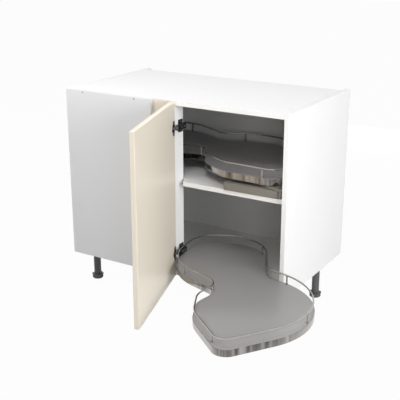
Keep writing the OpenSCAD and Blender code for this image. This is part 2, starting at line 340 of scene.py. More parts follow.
# The same foil in cream, on the door and the corner post
CREAM_FOIL = Finish(
    "foil_cream_satin", "cream_front", "EAE1D1", "E8DFCF", 0.36,
    tone_mm=500, grain_mm=5.0, grain_depth=0.04, polish_spread=0.02, coat=0.1,
)
# Thin hardboard back with a coat of lacquer: nearly matt, even in tone
BACK_BOARD = Finish(
    "hardboard_lacquered_white", "white_board", "EEEEEE", "ECECEC", 0.55,
    tone_mm=300, grain_mm=3.0, grain_depth=0.06,
)
# Tray board faced with mid-grey melamine: a soft pearl, nearly even over the whole board
TRAY_FACE = Finish(
    "melamine_tray_grey", "tray_board", "939292", "919090", 0.33,
    tone_mm=700, grain_mm=2.5, grain_depth=0.05, polish_spread=0.015,
)
# Steel strip, polished then chrome plated: a near mirror. Its colour holds painted reflections: the
# stretched drift paints upright dark and bright streaks for what such a strip mirrors from a room,
# and rim paints a lighter grazing sheen
CHROME = DrawnMetal(
    "steel_chrome_plated", "chrome", "B6B2AF", "454443", 0.08, 1.0, tone_mm=20, grain_mm=1.0,
    grain_depth=0.02, polish_spread=0.04, stretch=(1.0, 1.0, 0.04), rim="B9B5B2",
)
# Drawn wire, chrome plated without polishing: a softer, warmer shine
WIRE_CHROME = DrawnMetal(
    "wire_chrome_plated", "chrome", "BDBAB5", "B1AEA9", 0.2, 1.0,
    tone_mm=40, grain_mm=1.0, grain_depth=0.02, polish_spread=0.06,
)
# Zinc-plated steel: a little blue and cloudy
ZINC = DrawnMetal(
    "steel_zinc_plated", "steel", "C6C9CD", "B4B8BD", 0.32, 1.0,
    tone_mm=18, grain_mm=0.8, grain_depth=0.08, polish_spread=0.12,
)
# Stamped steel with dark nickel plating: smoky, with bright edges
DARK_NICKEL = DrawnMetal(
    "steel_dark_nickel", "dark_steel", "55575A", "46484B", 0.34, 0.9,
    tone_mm=25, grain_mm=0.8, grain_depth=0.06, polish_spread=0.1,
)
# Beige-grey powder coat: matt, with a fine cured grain
POWDER = SpeckledFinish(
    "powder_coat_beige_grey", "painted_rail", "827D76", "7B766F", 0.52,
    tone_mm=80, grain_mm=1.2, grain_depth=0.22, speck="938E86", speck_mm=1.8, speck_share=0.35,
)
# Injection moulded polypropylene: dull, from the spark-eroded grain of the tool
DARK_PLASTIC = SpeckledFinish(
    "polypropylene_dark_grey", "dark_plastic", "5E5E5F", "565657", 0.5,
    tone_mm=30, grain_mm=1.0, grain_depth=0.25, speck="6C6C6E", speck_mm=1.5, speck_share=0.3,
)
# Injection moulded polystyrene caps: a little greyer than the board that they close
WHITE_PLASTIC = SpeckledFinish(
    "polystyrene_white", "white_plastic", "DADAD9", "D5D5D4", 0.45,
    tone_mm=20, grain_mm=0.8, grain_depth=0.1, speck="D0D0D0", speck_mm=1.0, speck_share=0.3,
)


def settle(
    shape: Work | bpy.types.Mesh, name: str, finish: Finish, body: str, nodes: Sequence[str] = (),
    crease_deg: float = 35.0,
) -> Piece:
    """Makes a mesh a piece, dresses it and says what it rides and replaces.

    Args:
        shape: the mesh in row metres; one under work is welded and freed.
        name: the piece's name.
        finish: its surface, added if the mesh has none.
        body: the CAD body it moves with.
        nodes: CAD nodes that it stands for.
        crease_deg: edges sharper than this stay crisp.
    Returns:
        The new object.
    """
    mesh = shape
    if isinstance(shape, Work):
        bmesh.ops.remove_doubles(shape, verts=shape.verts, dist=SAME_SPOT)
        bmesh.ops.recalc_face_normals(shape, faces=shape.faces)
        mesh = bpy.data.meshes.new(name)
        shape.to_mesh(mesh)
        shape.free()
    piece = bpy.data.objects.new(name, mesh)
    bpy.context.scene.collection.objects.link(piece)
    if not mesh.materials:
        mesh.materials.append(finish.made())
    for poly in mesh.polygons:
        poly.use_smooth = True
    mesh.set_sharp_from_angle(angle=math.radians(crease_deg))
    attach(piece, body)
    if nodes:
        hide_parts(*nodes)
    LOG.info("%s rides %s, %d faces", name, body, len(mesh.polygons))
    return piece


def ring_points(radius: float, count: int) -> list[Point2]:
    """Points round a circle about the origin, anticlockwise."""
    step = 2 * math.pi / count
    return [(radius * math.cos(i * step), radius * math.sin(i * step)) for i in range(count)]


def fan(centre: Point2, radius: float, start: float, step: float, count: int) -> list[Point2]:
    """Points on an arc.

    Args:
        centre: middle of the arc.
        radius: its radius.
        start: direction of the first point, in degrees.
        step: turn from point to point, in degrees.
        count: number of points.
    Returns:
        The points in order.
    """
    turns = (math.radians(start + step * k) for k in range(count))
    return [(centre[0] + radius * math.cos(a), centre[1] + radius * math.sin(a)) for a in turns]


def prism(
    bm: Work, outline: Sequence[Point2], low: float, high: float, edge: float = 0.0, steps: int = 2
) -> None:
    """Extrudes an outline along Z and rounds its two rims.

    Args:
        bm: the mesh to add to.
        outline: points in millimetres, anticlockwise.
        low: bottom level in millimetres.
        high: top level in millimetres.
        edge: rim radius in millimetres.
        steps: segments of the rim.
    """
    fresh = bmesh.new()
    base = [fresh.verts.new((mm(x), mm(y), mm(low))) for x, y in outline]
    floor = fresh.faces.new(base)
    top = bmesh.ops.extrude_face_region(fresh, geom=[floor])
    moved = [g for g in top["geom"] if isinstance(g, bmesh.types.BMVert)]
    bmesh.ops.translate(fresh, verts=moved, vec=(0, 0, mm(high) - mm(low)))
    fresh.faces.ensure_lookup_table()
    bmesh.ops.recalc_face_normals(fresh, faces=fresh.faces)
    if edge > 0:
        rims = [e for e in fresh.edges if abs(e.verts[0].co.z - e.verts[1].co.z) < SAME_LEVEL]
        bmesh.ops.bevel(
            fresh, geom=rims, offset=mm(edge), segments=steps, affect="EDGES", clamp_overlap=True
        )
    join(bm, fresh)


def join(bm: Work, other: Work) -> None:
    """Adds another mesh under work to bm and frees it.

    Args:
        bm: the mesh that grows.
        other: the mesh to add.
    """
    held = bpy.data.meshes.new("held")
    other.to_mesh(held)
    other.free()
    bm.from_mesh(held)
    bpy.data.meshes.remove(held)


def block(
    bm: Work, low: Sequence[float], high: Sequence[float], edge: float = 0.4, steps: int = 2
) -> None:
    """Adds a box with rounded edges.

    Args:
        bm: the mesh to add to.
        low: lowest corner in millimetres.
        high: highest corner in millimetres.
        edge: edge radius in millimetres.
        steps: segments of the rounding.
    """
    fresh = bmesh.new()
    bmesh.ops.create_cube(fresh, size=1.0)
    size = [mm(h - l) for l, h in zip(low, high)]
    middle = [mm((h + l) / 2) for l, h in zip(low, high)]
    bmesh.ops.scale(fresh, vec=size, verts=fresh.verts)
    bmesh.ops.translate(fresh, vec=middle, verts=fresh.verts)
    if edge > 0:
        bmesh.ops.bevel(
            fresh, geom=list(fresh.edges), offset=mm(edge), segments=steps, affect="EDGES"
        )
    join(bm, fresh)


def turned_profile(profile: Iterable[Point2], count: int = 48, place: Matrix | None = None) -> Work:
    """Turns a profile about Z into a closed shape.

    Args:
        profile: radius and height in millimetres, from the axis to the axis.
        count: segments round.
        place: where the shape goes.
    Returns:
        The new mesh.
    """
    fresh = bmesh.new()
    rings: list[list[bmesh.types.BMVert]] = []
    for radius, height in profile:
        if radius < SAME_SPOT:
            rings.append([fresh.verts.new((0, 0, mm(height)))])
        else:
            rings.append(
                [fresh.verts.new((x, y, mm(height))) for x, y in ring_points(mm(radius), count)]
            )
    for low, high in zip(rings, rings[1:]):
        for i in range(count):
            j = (i + 1) % count
            ends = ((low, i), (low, j), (high, j), (high, i))
            unique = list(dict.fromkeys(ring[k % len(ring)] for ring, k in ends))
            if len(unique) > 2:
                fresh.faces.new(unique)
    bmesh.ops.recalc_face_normals(fresh, faces=fresh.faces)
    if place is not None:
        bmesh.ops.transform(fresh, matrix=place, verts=fresh.verts)
    return fresh


def evaluated(piece: Piece) -> bpy.types.Mesh:
    """Takes the plain mesh that an object's modifiers give, and removes them.

    Args:
        piece: the object with its modifiers.
    Returns:
        The new mesh.
    """
    bpy.context.view_layer.update()
    graph = bpy.context.evaluated_depsgraph_get()
    mesh = bpy.data.meshes.new_from_object(piece.evaluated_get(graph))
    piece.modifiers.clear()
    return mesh


def bored(piece: Piece, cutters: Sequence[Work]) -> None:
    """Cuts holes in a piece's mesh.

    Args:
        piece: the object to cut.
        cutters: closed meshes; they are freed.
    """
    tool_mesh = bpy.data.meshes.new("cutter")
    whole = bmesh.new()
    for cutter in cutters:
        join(whole, cutter)
    whole.to_mesh(tool_mesh)
    whole.free()
    tool = bpy.data.objects.new("cutter", tool_mesh)
    bpy.context.scene.collection.objects.link(tool)
    cut = piece.modifiers.new("bores", "BOOLEAN")
    cut.operation = "DIFFERENCE"
    cut.solver = "EXACT"
    cut.object = tool
    held = evaluated(piece)
    old = piece.data
    piece.data = held
    bpy.data.meshes.remove(old)
    bpy.data.objects.remove(tool)
    bpy.data.meshes.remove(tool_mesh)


@dataclass
class GrowthTree:
    """A Geometry Nodes tree with named inputs, run once on a mesh."""

    name: str
    tree: Tree = field(init=False)
    start: bpy.types.Node = field(init=False)
    ids: dict[str, str] = field(default_factory=dict)

    def __post_init__(self) -> None:
        """Starts the tree with its geometry sockets."""
        self.tree = bpy.data.node_groups.new(self.name, "GeometryNodeTree")
        face = self.tree.interface
        face.new_socket("Geometry", in_out="INPUT", socket_type="NodeSocketGeometry")
        face.new_socket("Geometry", in_out="OUTPUT", socket_type="NodeSocketGeometry")
        self.start = self.tree.nodes.new("NodeGroupInput")

    def size(self, name: str) -> Socket:
        """Adds a named length input.

        Args:
            name: the input's name.
        Returns:
            Its socket inside the tree.
        """
        made = self.tree.interface.new_socket(name, in_out="INPUT", socket_type="NodeSocketFloat")
        self.ids[name] = made.identifier
        return next(s for s in self.start.outputs if s.identifier == made.identifier)

    def close(self, shape: Socket, material: Material) -> None:
        """Ends the tree with Realize Instances and Set Material.

        Args:
            shape: the last geometry socket.
            material: what the result is dressed in.
        """
        real = add_node(self.tree, "GeometryNodeRealizeInstances", links={0: shape})
        dressed = add_node(
            self.tree, "GeometryNodeSetMaterial", links={"Geometry": real.outputs[0]},
            values={"Material": material},
        )
        out = self.tree.nodes.new("NodeGroupOutput")
        self.tree.links.new(dressed.outputs[0], out.inputs[0])

    def raised(self, shape: Socket, height: Socket) -> Socket:
        """Lifts a shape inside the tree.

        Args:
            shape: the geometry socket.
            height: how far up.
        Returns:
            The lifted geometry's socket.
        """
        lift = add_node(self.tree, "ShaderNodeCombineXYZ", links={"Z": height})
        links = {"Geometry": shape, "Translation": lift.outputs[0]}
        return add_node(self.tree, "GeometryNodeTransform", links=links).outputs[0]

    def stand(self, shape: Socket, material: Material) -> None:
        """Stands a shape on every point of the seed mesh and ends the tree.

        Args:
            shape: the geometry socket to repeat.
            material: what the result is dressed in.
        """
        points = add_node(self.tree, "GeometryNodeMeshToPoints", links={0: self.start.outputs[0]})
        stood = add_node(
            self.tree, "GeometryNodeInstanceOnPoints",
            links={"Points": points.outputs[0], "Instance": shape},
        )
        self.close(stood.outputs[0], material)

    def grow(self, seed_mesh: bpy.types.Mesh, sizes: dict[str, float]) -> bpy.types.Mesh:
        """Runs the tree on a mesh.

        Args:
            seed_mesh: points or lines the tree works on.
            sizes: values of the named inputs, in metres.
        Returns:
            The plain mesh that it made.
        """
        carrier = bpy.data.objects.new(self.name + "_seed", seed_mesh)
        bpy.context.scene.collection.objects.link(carrier)
        run = carrier.modifiers.new("grow", "NODES")
        run.node_group = self.tree
        for key, value in sizes.items():
            run[self.ids[key]] = value
        result = evaluated(carrier)
        bpy.data.objects.remove(carrier)
        return result


def tube_tree(material: Material) -> GrowthTree:
    """A tree that sweeps a round wire along the lines it is given.

    Args:
        material: what the wire is dressed in.
    Returns:
        The tree, with the input "Wire radius".
    """
    plan = GrowthTree("wire_sweep")
    radius = plan.size("Wire radius")
    tree = plan.tree
    line = add_node(tree, "GeometryNodeMeshToCurve", links={0: plan.start.outputs[0]})
    section = add_node(
        tree, "GeometryNodeCurvePrimitiveCircle", links={"Radius": radius},
        values={"Resolution": 20},
    )
    swept = add_node(
        tree, "GeometryNodeCurveToMesh",
        links={"Curve": line.outputs[0], "Profile Curve": section.outputs[0]},
    )
    plan.close(swept.outputs[0], material)
    return plan


def post_tree(material: Material) -> GrowthTree:
    """A tree that stands a rail post with its foot clip on each point.

    Args:
        material: what the posts are dressed in.
    Returns:
        The tree, with a radius and a height for the post and for its clip.
    """
    plan = GrowthTree("rail_post_set")
    tree = plan.tree
    shaft_r, shaft_h = plan.size("Post radius"), plan.size("Post height")
    clip_r, clip_h = plan.size("Clip radius"), plan.size("Clip height")

    def stump(radius: Socket, height: Socket) -> Socket:
        """A cylinder that stands on its point.

        Args:
            radius: its radius.
            height: its height.
        Returns:
            The geometry socket.
        """
        body = add_node(
            tree, "GeometryNodeMeshCylinder", links={"Radius": radius, "Depth": height},
            values={"Vertices": 28},
        )
        half = add_node(tree, "ShaderNodeMath", {"operation": "MULTIPLY"}, {0: height}, {1: 0.5})
        return plan.raised(body.outputs[0], half.outputs[0])

    collar_r, collar_h = (
        add_node(tree, "ShaderNodeMath", {"operation": "MULTIPLY"}, {0: length}, {1: share})
        for length, share in ((clip_r, 0.78), (clip_h, 1.5))
    )
    both = add_node(tree, "GeometryNodeJoinGeometry")
    for socket in (
        stump(shaft_r, shaft_h), stump(clip_r, clip_h),
        stump(collar_r.outputs[0], collar_h.outputs[0]),
    ):
        tree.links.new(socket, both.inputs[0])
    plan.stand(both.outputs[0], material)
    return plan


@dataclass(frozen=True)
class KidneyOutline:
    """The tray's edge as arcs, walked anticlockwise.

    Each arc is its centre, seen from the tray's pivot, and its radius, in millimetres. A negative
    radius is a hollow.
    """

    arcs: tuple[Point3, ...] = (
        (-432, 197.9, 120),
        (-305, 240.9, 244),
        (-123, -17.1, -60),
        (38, 26.9, 103),
        (123, 37.9, 152),
        (271, -68.1, 52),
        (43, 72.9, 273),
        (-141, 352.9, -61),
        (-361, 185.9, 189),
    )

    def arc(self, index: int, inset: float) -> Point3:
        """One arc, drawn in by an inset."""
        x, y, radius = self.arcs[index % len(self.arcs)]
        return (x, y, radius - inset)

    @staticmethod
    def contact(a: Point3, b: Point3) -> float:
        """Direction in radians of the common tangent's contact from arc a to arc b."""
        dx, dy = b[0] - a[0], b[1] - a[1]
        return math.atan2(dy, dx) - math.acos((a[2] - b[2]) / math.hypot(dx, dy))

    def points(self, inset: float, step_deg: float = 2.5) -> list[Point2]:
        """Walks the outline anticlockwise.

        Args:
            inset: how far inside the edge, in millimetres.
            step_deg: turn of one step on an arc.
        Returns:
            Points in millimetres.
        """
        walked: list[Point2] = []
        for i in range(len(self.arcs)):
            x, y, radius = self.arc(i, inset)
            first = self.contact(self.arc(i - 1, inset), (x, y, radius))
            last = self.contact((x, y, radius), self.arc(i + 1, inset))
            turn = (last - first + math.pi) % (2 * math.pi) - math.pi
            count = max(3, math.ceil(abs(math.degrees(turn)) / step_deg))
            for k in range(count + 1):
                a = first + turn * k / count
                walked.append((x + radius * math.cos(a), y + radius * math.sin(a)))
        return walked

    def at(self, index: int, degrees: float, inset: float) -> Point2:
        """The edge point of one arc in a direction.

        Args:
            index: which arc.
            degrees: the direction from its centre.
            inset: how far inside the edge, in millimetres.
        Returns:
            The point in millimetres.
        """
        x, y, radius = self.arc(index, inset)
        a = math.radians(degrees)
        return (x + abs(radius) * math.cos(a), y + abs(radius) * math.sin(a))

    def straightened(self, inset: float, spacing: float = 24.0) -> list[Point2]:
        """The outline with its long straights divided, for sweeps.

        Args:
            inset: how far inside the edge, in millimetres.
            spacing: longest step on a straight, in millimetres.
        Returns:
            Points in millimetres.
        """
        walked = self.points(inset)
        filled: list[Point2] = []
        for (x0, y0), (x1, y1) in zip(walked, walked[1:] + walked[:1]):
            length = math.hypot(x1 - x0, y1 - y0)
            if length < NO_STEP:
                continue
            parts = max(1, math.ceil(length / spacing))
            for k in range(parts):
                filled.append((x0 + (x1 - x0) * k / parts, y0 + (y1 - y0) * k / parts))
        return filled


@dataclass
class Carcass:
    """The fixed box: boards, blind panel, corner post, stile and shelf."""

    left: float = -43.0
    right: float = 957.0
    front: float = -83.0
    rear: float = 487.0
    floor: float = 150.0
    top: float = 870.0
    board: float = 18.0
    back_board: float = 8.0
    void: float = 33.0
    blind: float = 421.0
    front_board: float = 19.0
    post: float = 80.0
    post_proud: float = 6.0
    stile_depth: float = 59.0
    shelf_top: float = 547.0
    shelf_setback: float = 18.0
    shelf_notch: float = 25.0
    cap_spots: tuple[Point2, ...] = ((457.0, 178.0), (917.0, 14.0), (919.0, 327.0))
    cap_radius: float = 6.0
    cap_depth: float = 4.0
    edge: float = 0.7
    foil_edge: float = 1.2
    side_gap: float = 0.5
    fit_gap: float = 1.0
    back_drop: float = 4.0
    front_screw_insets: Point2 = (87.0, 79.0)
    front_screw_drop: float = 8.0

    @property
    def back_face(self) -> float:
        """Where the back panel's front face lies."""
        return self.rear - self.void - self.back_board

    @property
    def stile_left(self) -> float:
        """The stile's left face."""
        return self.left + self.blind + self.post

    def panel(
        self, name: str, low: Sequence[float], high: Sequence[float], finish: Finish,
        front_edge: BoardEdge = BoardEdge.STRIPPED,
    ) -> Piece:
        """Builds one board with eased edges and, on one side, a closed edge strip.

        Args:
            name: the CAD node that it stands for.
            low: lowest corner in millimetres.
            high: highest corner in millimetres.
            finish: its faces.
            front_edge: how the edge that faces the front is closed.
        Returns:
            The finished board.
        """
        bm = bmesh.new()
        block(bm, low, high, self.edge)
        piece = settle(bm, name + "_board", finish, "carcass", [name])
        if front_edge is BoardEdge.STRIPPED:
            piece.data.materials.append(EDGE_STRIP.made())
            for poly in piece.data.polygons:
                if poly.normal.y < -0.9:
                    poly.material_index = 1
        return piece

    def shelf(self) -> None:
        """The middle shelf, notched round the stile, its notch slanting to the front edge."""
        x0, x1 = self.left + self.board + self.side_gap, self.right - self.board - self.side_gap
        y0, y1 = self.front + self.shelf_setback, self.back_face - self.fit_gap
        n0, n1 = self.stile_left - self.fit_gap, self.stile_left + self.board + self.shelf_notch
        inner = n0 + self.board + 2 * self.fit_gap
        notch = self.front + self.stile_depth + self.fit_gap
        outline = [
            (x0, y0), (n0, y0), (n0, notch), (inner, notch), (n1, y0), (x1, y0), (x1, y1), (x0, y1),
        ]
        bm = bmesh.new()
        prism(bm, outline, self.shelf_top - self.board, self.shelf_top, self.edge)
        settle(bm, "fixed_shelf_board", MELAMINE, "carcass", ["fixed_shelf"])

    def corner_post(self) -> None:
        """The rabbeted corner post, cream in front."""
        x0, x1 = self.left + self.blind, self.stile_left
        bm = bmesh.new()
        block(bm, (x0, self.front - self.post_proud, self.floor), (x1, self.front, self.top), 0.8)
        block(
            bm, (x0, self.front, self.floor + self.board),
            (x1, self.front + self.board - self.post_proud, self.top - self.board), 0.3,
        )
        settle(bm, "corner_post_cream", CREAM_FOIL, "carcass", ["corner_post"])

    def blind_panel(self) -> None:
        """The fixed front with its countersunk screw holes."""
        bm = bmesh.new()
        outer, right = self.front - self.front_board, self.left + self.blind
        block(bm, (self.left, outer, self.floor), (right, self.front, self.top), self.foil_edge, 3)
        piece = settle(bm, "blind_front_foil", WHITE_FOIL, "carcass", ["blind_front_panel"])
        head, shank, flat, cone, deep = 4.2, 2.25, 1, 3.4, 25
        sink = [(0, 0), (head, 0), (head, flat), (shank, cone), (shank, deep), (0, deep)]
        from_left, from_right = self.front_screw_insets
        level = self.top - self.front_screw_drop
        bored(
            piece,
            [
                turned_profile(sink, 24, shift(x, outer - 1, level) @ quarter(x=-1))
                for x in (self.left + from_left, right - from_right)
            ],
        )

    def build(self) -> None:
        """Builds every board of the carcass."""
        inner_l, inner_r = self.left + self.board, self.right - self.board
        under, over = self.floor + self.board, self.top - self.board
        low, high, front, rear, back = self.floor, self.top, self.front, self.rear, self.back_face
        self.panel("left_side_panel", (self.left, front, low), (inner_l, rear, high), MELAMINE)
        self.panel("right_side_panel", (inner_r, front, low), (self.right, rear, high), MELAMINE)
        self.panel("bottom_panel", (inner_l, front, low), (inner_r, back, under), MELAMINE)
        lid = self.panel("top_panel", (inner_l, front, over), (inner_r, back, high), MELAMINE)
        r, deep = self.cap_radius, self.cap_depth
        recess = [(0, -deep), (r, -deep), (r, 1), (0, 1)]
        bored(lid, [turned_profile(recess, 64, shift(x, y, high)) for x, y in self.cap_spots])
        self.panel(
            "back_panel", (inner_l, back, low),
            (inner_r, back + self.back_board, high - self.back_drop), BACK_BOARD, BoardEdge.BARE,
        )
        self.panel(
            "hinge_stile", (self.stile_left, front, under),
            (self.stile_left + self.board, front + self.stile_depth, over), MELAMINE,
        )
        self.shelf()
        self.corner_post()
        self.blind_panel()


@dataclass
class Door:
    """The hinged door, drawn shut and swung to where the photo has it."""

    left: float = 459.0
    width: float = 496.0
    low: float = 154.0
    high: float = 869.0
    inner: float = -86.5
    thick: float = 19.0
    hinge_x: float = 468.75
    hinge_y: float = -99.9
    open_deg: float = 72.1
    cup_radius: float = 17.5
    cup_inset: float = 21.5
    cup_depth: float = 12.5
    hinge_levels: tuple[float, float] = (253.0, 767.0)

    def swing(self) -> Matrix:
        """The turn from shut to open about the hinge axis."""
        pivot = shift(self.hinge_x, self.hinge_y)
        return pivot @ Matrix.Rotation(math.radians(-self.open_deg), 4, "Z") @ pivot.inverted()

    def build(self) -> None:
        """Builds the door board with its two cup bores."""
        bm = bmesh.new()
        low = (self.left, self.inner - self.thick, self.low)
        block(bm, low, (self.left + self.width, self.inner, self.high), 1.5, 3)
        bmesh.ops.transform(bm, matrix=self.swing(), verts=bm.verts)
        piece = settle(bm, "door_cream_foil", CREAM_FOIL, "door", ["door_panel"])
        reach = self.cup_depth + 1
        bore = [(0, 0), (self.cup_radius, 0), (self.cup_radius, reach), (0, reach)]
        x, y = self.left + self.cup_inset, self.inner + 1
        bored(
            piece,
            [
                turned_profile(bore, 48, self.swing() @ shift(x, y, level) @ quarter(x=1))
                for level in self.hinge_levels
            ],
        )


@dataclass
class Tray:
    """One swing-out tray with its band, gallery rail, posts and arm."""

    prefix: str
    support: float
    station: Station
    outline: KidneyOutline = field(default_factory=KidneyOutline)
    post_at: Point2 = (917.0, -53.0)
    arm_length: float = 349.83
    arm_in: float = 160.62
    arm_swing: float = 95.13
    turn: float = 36.38
    rise: float = 67.0
    board: float = 16.0
    band: float = 25.0
    band_thick: float = 1.5
    rail_height: float = 35.5
    rail_wire: float = 6.0
    rail_inset: float = 6.0
    arm_low: float = 31.5
    arm_thick: float = 8.0
    base_high: float = 29.5
    pillar: float = 11.0
    pivot: float = 8.0
    bar_length: float = 222.0
    bar_half: float = 13.0
    bar_forward: float = 4.0
    neck: float = 5.0
    arm_ends: Point2 = (17.0, 20.0)
    arm_bore: float = 8.25
    post_radius: float = 3.0
    clip_radius: float = 5.0
    clip_height: float = 3.0
    posts: tuple[Point2, ...] = ((1, -86), (2, 79), (5, -117), (6, 39), (6, 111), (8, 87))

    def arm_place(self) -> Matrix:
        """Where the swing arm's own axes lie."""
        angle = math.radians(self.arm_in + self.station.value * self.arm_swing)
        return shift(*self.post_at, self.support) @ Matrix.Rotation(angle, 4, "Z")

    def tray_place(self) -> Matrix:
        """Where the tray's own axes lie.

        Returns:
            The matrix from the tray's pivot to the row.
        """
        back = self.arm_in + self.station.value * (self.arm_swing + self.turn)
        turned = Matrix.Rotation(math.radians(-back), 4, "Z")
        return self.arm_place() @ shift(self.arm_length, 0) @ turned

    def name(self, part: str) -> str:
        """A node's name at this level."""
        return f"{self.prefix}_{part}"

    def tray_board(self) -> None:
        """The kidney board with a slightly eased rim."""
        bm = bmesh.new()
        prism(bm, self.outline.points(self.band_thick), self.rise - self.board, self.rise, 0.5)
        bmesh.ops.transform(bm, matrix=self.tray_place(), verts=bm.verts)
        body, nodes = self.name("tray"), [self.name("tray_board")]
        settle(bm, self.name("tray_board_face"), TRAY_FACE, body, nodes)

    def edge_band(self) -> None:
        """The chrome band: a strip with rolled top and bottom lips, swept round the edge."""
        low, high, t, skin = self.rise - self.band, self.rise, self.band_thick, 0.01
        profile = [
            (t, low + 0.2), (t - 0.5, low), (0.5, low), (0.15, low + 0.35), (skin, low + 1.0),
            (skin, high - 1.4), (0.15, high - 0.7), (0.5, high - 0.15), (0.9, high),
            (t, high - 0.2),
        ]
        rings = [
            [(mm(x), mm(y), mm(z)) for x, y in self.outline.straightened(inset)]
            for inset, z in profile
        ]
        bm = bmesh.new()
        count = min(len(ring) for ring in rings)
        made = [[bm.verts.new(point) for point in ring[:count]] for ring in rings]
        for low_ring, high_ring in zip(made, made[1:] + made[:1]):
            for i in range(count):
                j = (i + 1) % count
                bm.faces.new((low_ring[i], low_ring[j], high_ring[j], high_ring[i]))
        bmesh.ops.transform(bm, matrix=self.tray_place(), verts=bm.verts)
        body, nodes = self.name("tray"), [self.name("edge_band")]
        settle(bm, self.name("edge_band_chrome"), CHROME, body, nodes, crease_deg=50)

    def gallery_rail(self) -> None:
        """The round wire rail, swept by nodes along the outline."""
        line = bpy.data.meshes.new("rail_line")
        path = self.outline.straightened(self.rail_inset)
        place = self.tray_place()
        level = mm(self.rise + self.rail_height)
        verts = [place @ Vector((mm(x), mm(y), level)) for x, y in path]
        edges = [(i, (i + 1) % len(verts)) for i in range(len(verts))]
        line.from_pydata(verts, edges, [])
        mesh = tube_tree(WIRE_CHROME.made()).grow(line, {"Wire radius": mm(self.rail_wire / 2)})
        body, nodes = self.name("tray"), [self.name("gallery_rail")]
        settle(mesh, self.name("gallery_rail_wire"), WIRE_CHROME, body, nodes, crease_deg=60)

    def rail_posts(self) -> None:
        """The posts that carry the rail, stood by nodes on their points."""
        seeds = bpy.data.meshes.new("post_points")
        place = self.tray_place()
        spots = [self.outline.at(int(i), a, self.rail_inset) for i, a in self.posts]
        seeds.from_pydata([place @ Vector((mm(x), mm(y), mm(self.rise))) for x, y in spots], [], [])
        sizes = {
            "Post radius": mm(self.post_radius),
            "Post height": mm(self.rail_height - self.rail_wire / 2 + 0.3),
            "Clip radius": mm(self.clip_radius), "Clip height": mm(self.clip_height),
        }
        mesh = post_tree(WIRE_CHROME.made()).grow(seeds, sizes)
        body, nodes = self.name("tray"), [self.name("rail_posts")]
        settle(mesh, self.name("rail_posts_chrome"), WIRE_CHROME, body, nodes, crease_deg=40)

    def base_rail(self) -> None:
        """The folded base bar: its left end round, its right end closed on the pillar."""
        px, py = self.post_at
        wide, neck = self.bar_half, px - self.neck
        # a hair outside the pillar, so that the two skins don't fall together
        reach = self.pillar + 0.02
        outline = fan((px - self.bar_length, py - self.bar_forward), wide, 90, 10, 19)
        outline += [(neck, py - wide)]
        outline += fan(self.post_at, reach, 248, -8.5, 17)
        outline += [(neck, py + wide)]
        bm = bmesh.new()
        prism(bm, outline, self.support, self.support + self.base_high, 0.8, 3)
        nodes = [self.name("base_rail")]
        settle(bm, self.name("base_rail_bar"), POWDER, "carcass", nodes, crease_deg=40)

    def pivot_post(self) -> None:
        """The pillar and the thinner pivot over it, turned with small chamfers."""
        r, mid, top = self.pillar, self.arm_low, self.rise - self.band - 2.0
        profile = [
            (0, 0.0), (r - 0.5, 0.0), (r, 0.5), (r, mid - 0.6), (r - 0.6, mid), (self.pivot, mid),
            (self.pivot, top), (0, top),
        ]
        bm = turned_profile(profile, 64, shift(*self.post_at, self.support))
        nodes = [self.name("pivot_post")]
        settle(bm, self.name("pivot_pillar"), CHROME, "carcass", nodes, crease_deg=30)

    def swing_arm(self) -> None:
        """The pressed arm with eased edges and its two bores."""
        far, (near_end, far_end) = self.arm_length, self.arm_ends
        outline = fan((0, 0), near_end, 90, 10, 19) + fan((far, 0), far_end, -90, 10, 19)
        bm = bmesh.new()
        low, high = self.arm_low, self.arm_low + self.arm_thick
        prism(bm, outline, low, high, 0.9, 3)
        place = self.arm_place()
        bmesh.ops.transform(bm, matrix=place, verts=bm.verts)
        label, nodes = self.name("swing_arm_pressed"), [self.name("swing_arm")]
        piece = settle(bm, label, POWDER, self.name("arm"), nodes, crease_deg=40)
        r = self.arm_bore
        bore = [(0, low - 1), (r, low - 1), (r, high + 1), (0, high + 1)]
        bored(piece, [turned_profile(bore, 40, place @ shift(x, 0)) for x in (0, far)])

    def tray_hub(self) -> None:
        """The hub under the tray, its pin and the washer that keeps it in the arm."""
        low, high, top = self.arm_low, self.arm_low + self.arm_thick, self.rise - self.board
        profile = [
            (0, low - 3), (10.4, low - 3), (11, low - 2.4), (11, low - 0.5), (8, low - 0.5),
            (8, high), (28.6, high), (30, high + 1.4), (30, top - 1.0), (29.4, top), (0, top),
        ]
        bm = turned_profile(profile, 64, self.tray_place())
        body, nodes = self.name("tray"), [self.name("tray_hub")]
        settle(bm, self.name("tray_hub_turned"), ZINC, body, nodes, crease_deg=30)

    def build(self) -> None:
        """Builds the tray and what it rides on."""
        self.base_rail()
        self.pivot_post()
        self.swing_arm()
        self.tray_hub()
        self.tray_board()
        self.edge_band()
        self.gallery_rail()
        self.rail_posts()


